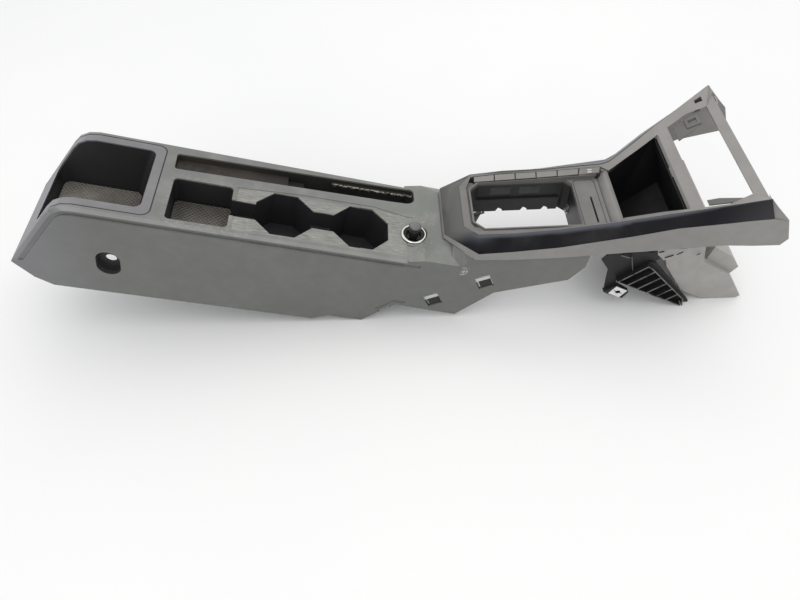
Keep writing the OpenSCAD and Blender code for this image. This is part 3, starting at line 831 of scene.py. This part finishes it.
DRESSINGS = (
    Dressing("console_body", SHELL, 0.9),
    Dressing("rear_trim", TRIM, 0.7),
    Dressing("bin_tub", PIT, 0.5),
    Dressing("bin_mat", MAT, 0.4),
    Dressing("cup_tray", PIT, 0.5),
    Dressing("tray_mat", TRAY_MAT, 0.4),
    Dressing("brake_slot_liner", SLOT, 0.3),
    Dressing("power_socket", PIT, 0.3),
    Dressing("socket_ring", RING, 0.2),
    Dressing("lighter_knob", KNOB, 0.4),
    Dressing("trim_frame", UPPER, split=44),
    Dressing("accent_trim", GLOSS, split=60),
    Dressing("selector_panel", PLATE, 0.4),
    Dressing("switch_carrier", PIT, 0.3),
    *(Dressing(f"switch_blank_{k}", COVER, 0.5) for k in range(1, 6)),
    Dressing("mode_switch", COVER, 0.5),
    Dressing("storage_tub", WELL, 0.5),
    Dressing("climate_plate_left", TAB, 0.3),
    Dressing("climate_plate_right", TAB, 0.3),
    Dressing("lower_housing", RAW, 1.2),
    Dressing("front_bracket_left", RIBBED, 0.3),
    Dressing("front_bracket_right", RIBBED, 0.3),
    Dressing("bracket_clips", PALE, 0.15),
    Dressing("side_clips", SPRING, 0.15),
    Dressing("dash_clips", STEEL, 0.15),
    Dressing("panel_clip", STEEL, 0.15),
)


def placed(name: str, mesh: bmesh.types.BMesh) -> bpy.types.Object:
    """Turns an edited mesh into an object of the scene, and frees the edited mesh.

    Args:
        name: Name of the object and its mesh.
        mesh: The edited mesh.

    Returns:
        The object.
    """
    data = bpy.data.meshes.new(name)
    mesh.to_mesh(data)
    mesh.free()
    piece = bpy.data.objects.new(name, data)
    bpy.context.scene.collection.objects.link(piece)
    return piece


@dataclass
class SwitchMark:
    """The small plain mark on the push switch."""

    length: float = 6.0
    width: float = 1.3
    thickness: float = 0.25
    spread: float = 1.6
    chamfer: float = 0.08
    lift: float = 0.4

    def build(self) -> bpy.types.Object:
        """Makes two short bars on the switch's face.

        Returns:
            The piece, riding on the switch.
        """
        low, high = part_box("mode_switch")
        mesh = bmesh.new()
        for shift in (-self.spread, self.spread):
            bar = bmesh.ops.create_cube(mesh, size=1.0)["verts"]
            bmesh.ops.scale(mesh, vec=Vector((self.length, self.width, self.thickness)) * MM, verts=bar)
            bmesh.ops.translate(mesh, vec=Vector((0, shift * MM, 0)), verts=bar)
        bmesh.ops.bevel(mesh, geom=mesh.edges[:], offset=self.chamfer * MM, segments=1, affect="EDGES")
        piece = placed("switch_mark", mesh)
        normal, centre = face_toward(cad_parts["mode_switch"], Vector((-0.3, -0.5, 0.8)))
        place = centre + normal * self.thickness * self.lift * MM
        piece.matrix_world = Matrix.Translation(place) @ turned(normal)
        piece.data.materials.append(MARK.build())
        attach(piece, "mode_button")
        log.info("made %s between %s and %s", piece.name, tuple(low), tuple(high))
        return piece


@dataclass(frozen=True)
class Strip:
    """A thin wall drawn between two lines of points, given as stations and offsets in millimetres."""

    name: str
    finish: Finish
    first: tuple[Triple, ...]
    second: tuple[Triple, ...]
    thickness: float = 0.8
    mirrored: bool = True

    def build(self, made: dict[str, bpy.types.Material]) -> bpy.types.Object:
        """Makes the wall, on both sides of the console if it is mirrored.

        Args:
            made: Materials already made, by name.

        Returns:
            The piece, riding on the console.
        """
        mesh = bmesh.new()
        for side in (1, -1) if self.mirrored else (1,):
            first = [mesh.verts.new(at(s, y * side, z)) for s, y, z in self.first]
            second = [mesh.verts.new(at(s, y * side, z)) for s, y, z in self.second]
            for k in range(len(first) - 1):
                mesh.faces.new((first[k], first[k + 1], second[k + 1], second[k]))
        bmesh.ops.recalc_face_normals(mesh, faces=mesh.faces[:])
        bmesh.ops.solidify(mesh, geom=mesh.faces[:], thickness=self.thickness * MM)
        bmesh.ops.recalc_face_normals(mesh, faces=mesh.faces[:])
        piece = placed(self.name, mesh)
        piece.data.materials.append(painted(self.finish, made))
        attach(piece, "console")
        log.info("made %s with %d faces", self.name, len(piece.data.polygons))
        return piece


def slit(number: int, rear: tuple[float, float], front: tuple[float, float]) -> Strip:
    """One slit of the raw housing, a little wider at its front end, drawn as a black sheet of painted shade
    in place of the cut.

    Args:
        number: Number of the slit, from the rear.
        rear: Station and height of its rear end.
        front: Station and height of its front end.

    Returns:
        The slit.
    """
    return Strip(
        f"housing_slit_{number}",
        WELL,
        ((rear[0], SLIT_SIDE, rear[1] - 1.3), (front[0], SLIT_SIDE, front[1] - 1.0)),
        ((rear[0], SLIT_SIDE, rear[1] + 1.0), (front[0], SLIT_SIDE, front[1] + 1.5)),
        thickness=0.4,
        mirrored=False,
    )


STRIPS = (
    Strip(
        "corner_skirt",
        SHELL,
        ((582, -57.5, 189.6), (590, -63.2, 189.6), (598, -69, 189.6), (606, -74.8, 189.6), (613, -79, 189.6)),
        ((585, -66, 175.8), (590, -69, 173.9), (599, -76.6, 169.8), (606, -76.8, 178.5), (614, -76.8, 187.4)),
    ),
    Strip(
        "bank_corner",
        PIT,
        ((782.9, 46.6, 268), (789, 46.6, 268)),
        ((782.9, 46.6, 278.2), (789, 46.6, 278.2)),
        mirrored=False,
    ),
    Strip(
        "tub_lip",
        WELL,
        ((853.6, 10, 330.5), (853.6, 72, 330.5)),
        ((850.6, 10, 340.4), (850.6, 72, 340.4)),
    ),
    Strip(
        "housing_ear",
        RAW,
        ((868, -62.8, 253), (885, -62.8, 258), (908, -62.8, 264)),
        ((874, -62.8, 243), (889, -62.8, 235), (908, -62.8, 247)),
        mirrored=False,
    ),
    Strip(
        "bracket_fin",
        TAB,
        ((838.5, -62, 230), (857, -62, 202.5)),
        ((836.5, -66, 233), (855, -66, 205.5)),
        thickness=1.0,
    ),
    # A black plate of painted shade behind the corner hole.
    Strip(
        "corner_stop",
        WELL,
        ((893.8, 96, 384.2), (893.8, 109, 384.2)),
        ((902.6, 96, 393.8), (902.6, 109, 393.8)),
        mirrored=False,
    ),
    Strip(
        "clip_rim",
        TAB,
        ((822.5, -63.2, 228.4), (838, -63.2, 226.8)),
        ((822.5, -63.2, 230.6), (838, -63.2, 229)),
        thickness=0.6,
    ),
    # A black sheet of painted shade in place of the clip's window.
    Strip(
        "clip_window",
        WELL,
        ((824, SLIT_SIDE, 231), (836, SLIT_SIDE, 229.5)),
        ((824, SLIT_SIDE, 237), (836, SLIT_SIDE, 235.5)),
        thickness=0.4,
    ),
    slit(1, (858, 245), (867, 247)),
    slit(2, (872, 249), (878, 252)),
    slit(3, (887, 240.5), (896, 248)),
    slit(4, (900.5, 250.5), (906, 257)),
    slit(5, (929, 257), (932, 260)),
)


def face_toward(target: bpy.types.Object, way: Vector) -> tuple[Vector, Vector]:
    """Finds the large face of a mesh that looks most in one direction.

    Args:
        target: The mesh object, at rest.
        way: The direction.

    Returns:
        The face's normal, and its centre weighted by area.
    """
    way = way.normalized()
    best = max(target.data.polygons, key=lambda face: face.area * max(0.0, face.normal.dot(way)))
    same = [face for face in target.data.polygons if face.normal.dot(best.normal) > 0.999]
    total = sum(face.area for face in same)
    centre = sum((face.center * face.area for face in same), Vector()) / total
    return best.normal.copy(), centre


def turned(normal: Vector) -> Matrix:
    """A rotation whose Z axis is the normal and whose X axis stays level along the console."""
    side = Vector((0, 1, 0)).cross(normal).normalized()
    return Matrix((side, normal.cross(side), normal)).transposed().to_4x4()


@dataclass(frozen=True)
class Lamp:
    """A soft square lamp, with its side in metres and its power in watts."""

    name: str
    place: Triple
    size: float
    power: float
    tint: Colour

    def hang(self, aim: Triple) -> None:
        """Hangs the lamp so that it looks at a point.

        Args:
            aim: The point.
        """
        data = bpy.data.lights.new(self.name, "AREA")
        data.shape = "SQUARE"
        data.size = self.size
        data.energy = self.power
        data.color = self.tint
        lamp = bpy.data.objects.new(self.name, data)
        bpy.context.scene.collection.objects.link(lamp)
        lamp.location = self.place
        lamp.rotation_mode = "QUATERNION"
        lamp.rotation_quaternion = (Vector(aim) - Vector(self.place)).to_track_quat("-Z", "Y")


LAMPS = (
    Lamp("overhead", (-0.4, 0.2, 2.6), 3.0, 26, (1.0, 0.99, 0.97)),
    Lamp("window", (-1.6, -2.2, 1.4), 1.8, 7, (0.96, 0.98, 1.0)),
)


@dataclass
class Studio:
    """Floor, light and camera."""

    floor_size: float = 16.0
    floor_through: Triple = (489.0, 0.0, 12.4)
    floor_slope: float = 0.294
    floor_dim: Colour = (0.85, 0.85, 0.84)
    floor_pale: Colour = (0.88, 0.88, 0.86)
    lens: float = 28.35
    sensor: float = 36.0
    place: Triple = (0.32085, -0.65284, 0.79448)
    forward: Triple = (0.2269, 0.6087, -0.7603)
    upward: Triple = (-0.1364, 0.7928, 0.5941)
    clip: tuple[float, float] = (0.01, 60.0)
    aim: Triple = (0, 0, 0.1)
    fill: float = 0.88
    fill_tint: Colour = (0.97, 0.98, 1.0)
    backdrop: Colour = (0.96, 0.96, 0.95)

    def floor(self) -> None:
        """Lays the pale floor, leaning as the console stands in the photograph."""
        half = self.floor_size / 2
        mesh = bpy.data.meshes.new("floor")
        signs = ((-1, -1), (1, -1), (1, 1), (-1, 1))
        corners = [(a * half, b * half, a * half * self.floor_slope) for a, b in signs]
        mesh.from_pydata(corners, [], [(0, 1, 2, 3)])
        plane = bpy.data.objects.new("floor", mesh)
        plane.location = at(*self.floor_through)
        bpy.context.scene.collection.objects.link(plane)
        net = Net("pale_floor")
        tone = net.noise(1.1, 3).step(0.3, 0.8)
        net.feed("Base Color", net.mix(tone, self.floor_dim, self.floor_pale))
        net.feed("Roughness", 0.75)
        net.feed("Specular IOR Level", 0.2)
        plane.data.materials.append(net.material)

    def world(self) -> None:
        """Sets the even studio light, and white where the camera or a reflection looks past the floor."""
        world = bpy.data.worlds.new("studio")
        bpy.context.scene.world = world
        world.use_nodes = True
        tree = world.node_tree
        tree.nodes.clear()
        path = tree.nodes.new("ShaderNodeLightPath")
        seen = path.outputs["Is Camera Ray"]
        for ray in ("Is Transmission Ray", "Is Glossy Ray"):
            either = tree.nodes.new("ShaderNodeMath")
            either.operation = "MAXIMUM"
            tree.links.new(seen, either.inputs[0])
            tree.links.new(path.outputs[ray], either.inputs[1])
            seen = either.outputs[0]
        mix = tree.nodes.new("ShaderNodeMixShader")
        tree.links.new(seen, mix.inputs[0])
        for socket, tint, strength in ((1, self.fill_tint, self.fill), (2, self.backdrop, 1.0)):
            light = tree.nodes.new("ShaderNodeBackground")
            light.inputs[0].default_value = (*tint, 1)
            light.inputs[1].default_value = strength
            tree.links.new(light.outputs[0], mix.inputs[socket])
        out = tree.nodes.new("ShaderNodeOutputWorld")
        tree.links.new(mix.outputs[0], out.inputs[0])

    def camera(self) -> None:
        """Sets the camera at the photograph's angle."""
        data = bpy.data.cameras.new("camera")
        data.sensor_width = self.sensor
        data.sensor_fit = "HORIZONTAL"
        data.lens = self.lens
        data.clip_start, data.clip_end = self.clip
        camera = bpy.data.objects.new("camera", data)
        bpy.context.scene.collection.objects.link(camera)
        back = -Vector(self.forward).normalized()
        side = Vector(self.upward).cross(back).normalized()
        turn = Matrix((side, back.cross(side), back)).transposed()
        place = Vector(self.place) + Vector((STATION_ZERO, 0, 0))
        camera.matrix_world = Matrix.Translation(place) @ turn.to_4x4()
        bpy.context.scene.camera = camera

    def build(self) -> None:
        """Builds the whole studio."""
        self.floor()
        self.world()
        for lamp in LAMPS:
            lamp.hang(self.aim)
        self.camera()
        bpy.context.scene.view_settings.view_transform = "Standard"


def main() -> None:
    """Dresses the CAD nodes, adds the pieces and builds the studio."""
    logging.basicConfig(level=logging.INFO)
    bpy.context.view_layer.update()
    made: dict[str, bpy.types.Material] = {}
    for dressing in DRESSINGS:
        dressing.apply(made)
    SwitchMark().build()
    for strip in STRIPS:
        strip.build(made)
    Studio().build()


if __name__ == "__main__":
    main()
